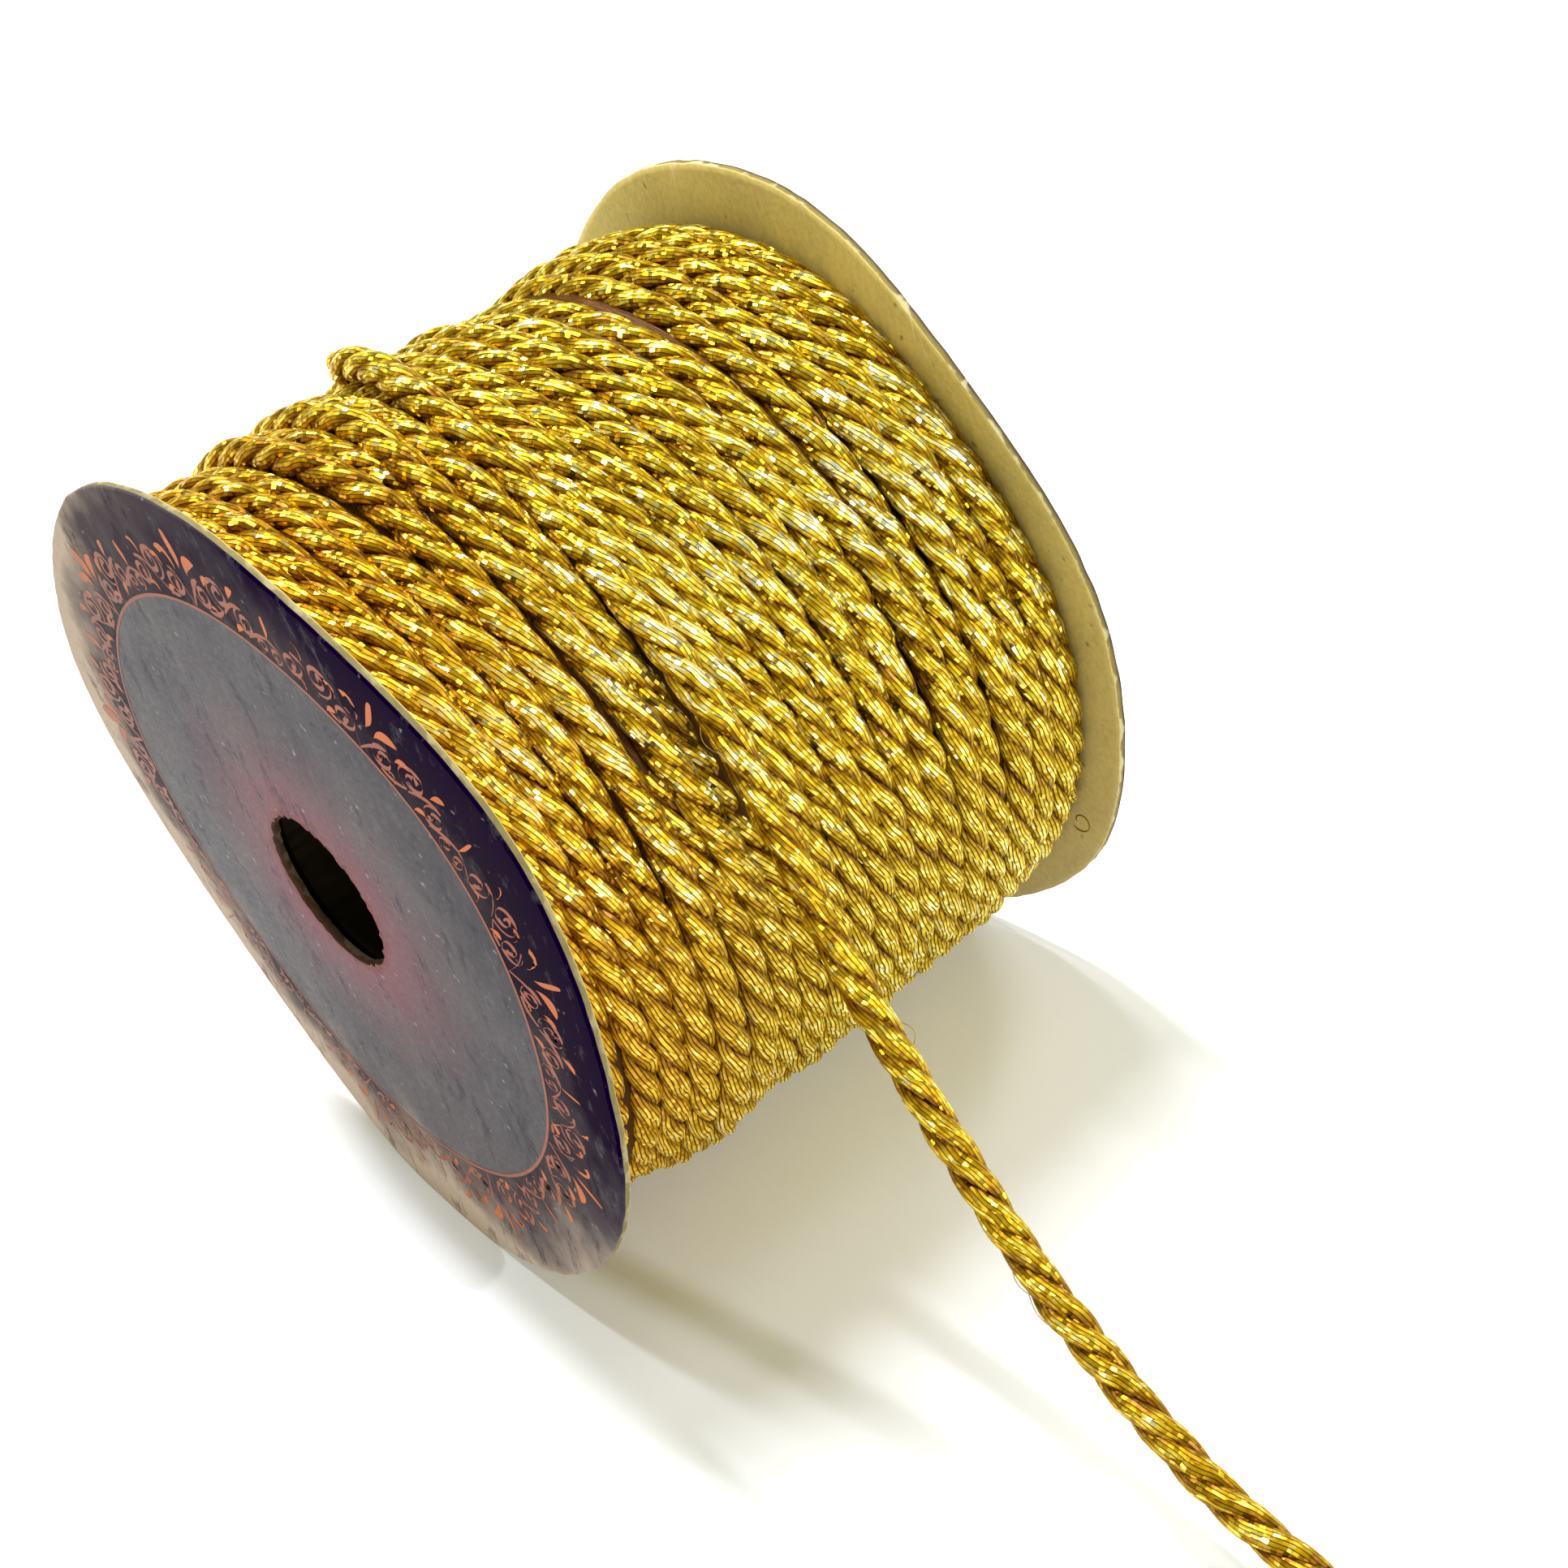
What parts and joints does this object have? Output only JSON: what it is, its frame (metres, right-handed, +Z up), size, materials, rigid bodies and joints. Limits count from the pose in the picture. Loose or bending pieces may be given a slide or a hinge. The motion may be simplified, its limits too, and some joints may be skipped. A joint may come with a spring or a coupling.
{
  "type": "twisted cord on a spool",
  "caption": "Metallic gold twisted cord wound side by side on a cardboard spool with round board flanges, its loose end trailing off one side to the floor.",
  "frame": {"origin": "on the floor plane, below the middle of the spool", "axes": "+X along the spool's axis from the printed flange to the plain one, +Z up, -Y the side on which the loose cord comes off"},
  "size_m": [0.072, 0.1821, 0.0894],
  "materials": {
    "gold_cord": "glittering metallic filament, ochre in the shade with pale yellow glints",
    "printed_label": null,
    "board": null,
    "core_board": "brown wound paperboard tube, matte"
  },
  "bodies": {
    "root": {"winding": "gold_cord", "loose_cord": "gold_cord", "flange_front": "printed_label", "flange_back": "board", "core_tube": "core_board"}
  },
  "joints": []
}
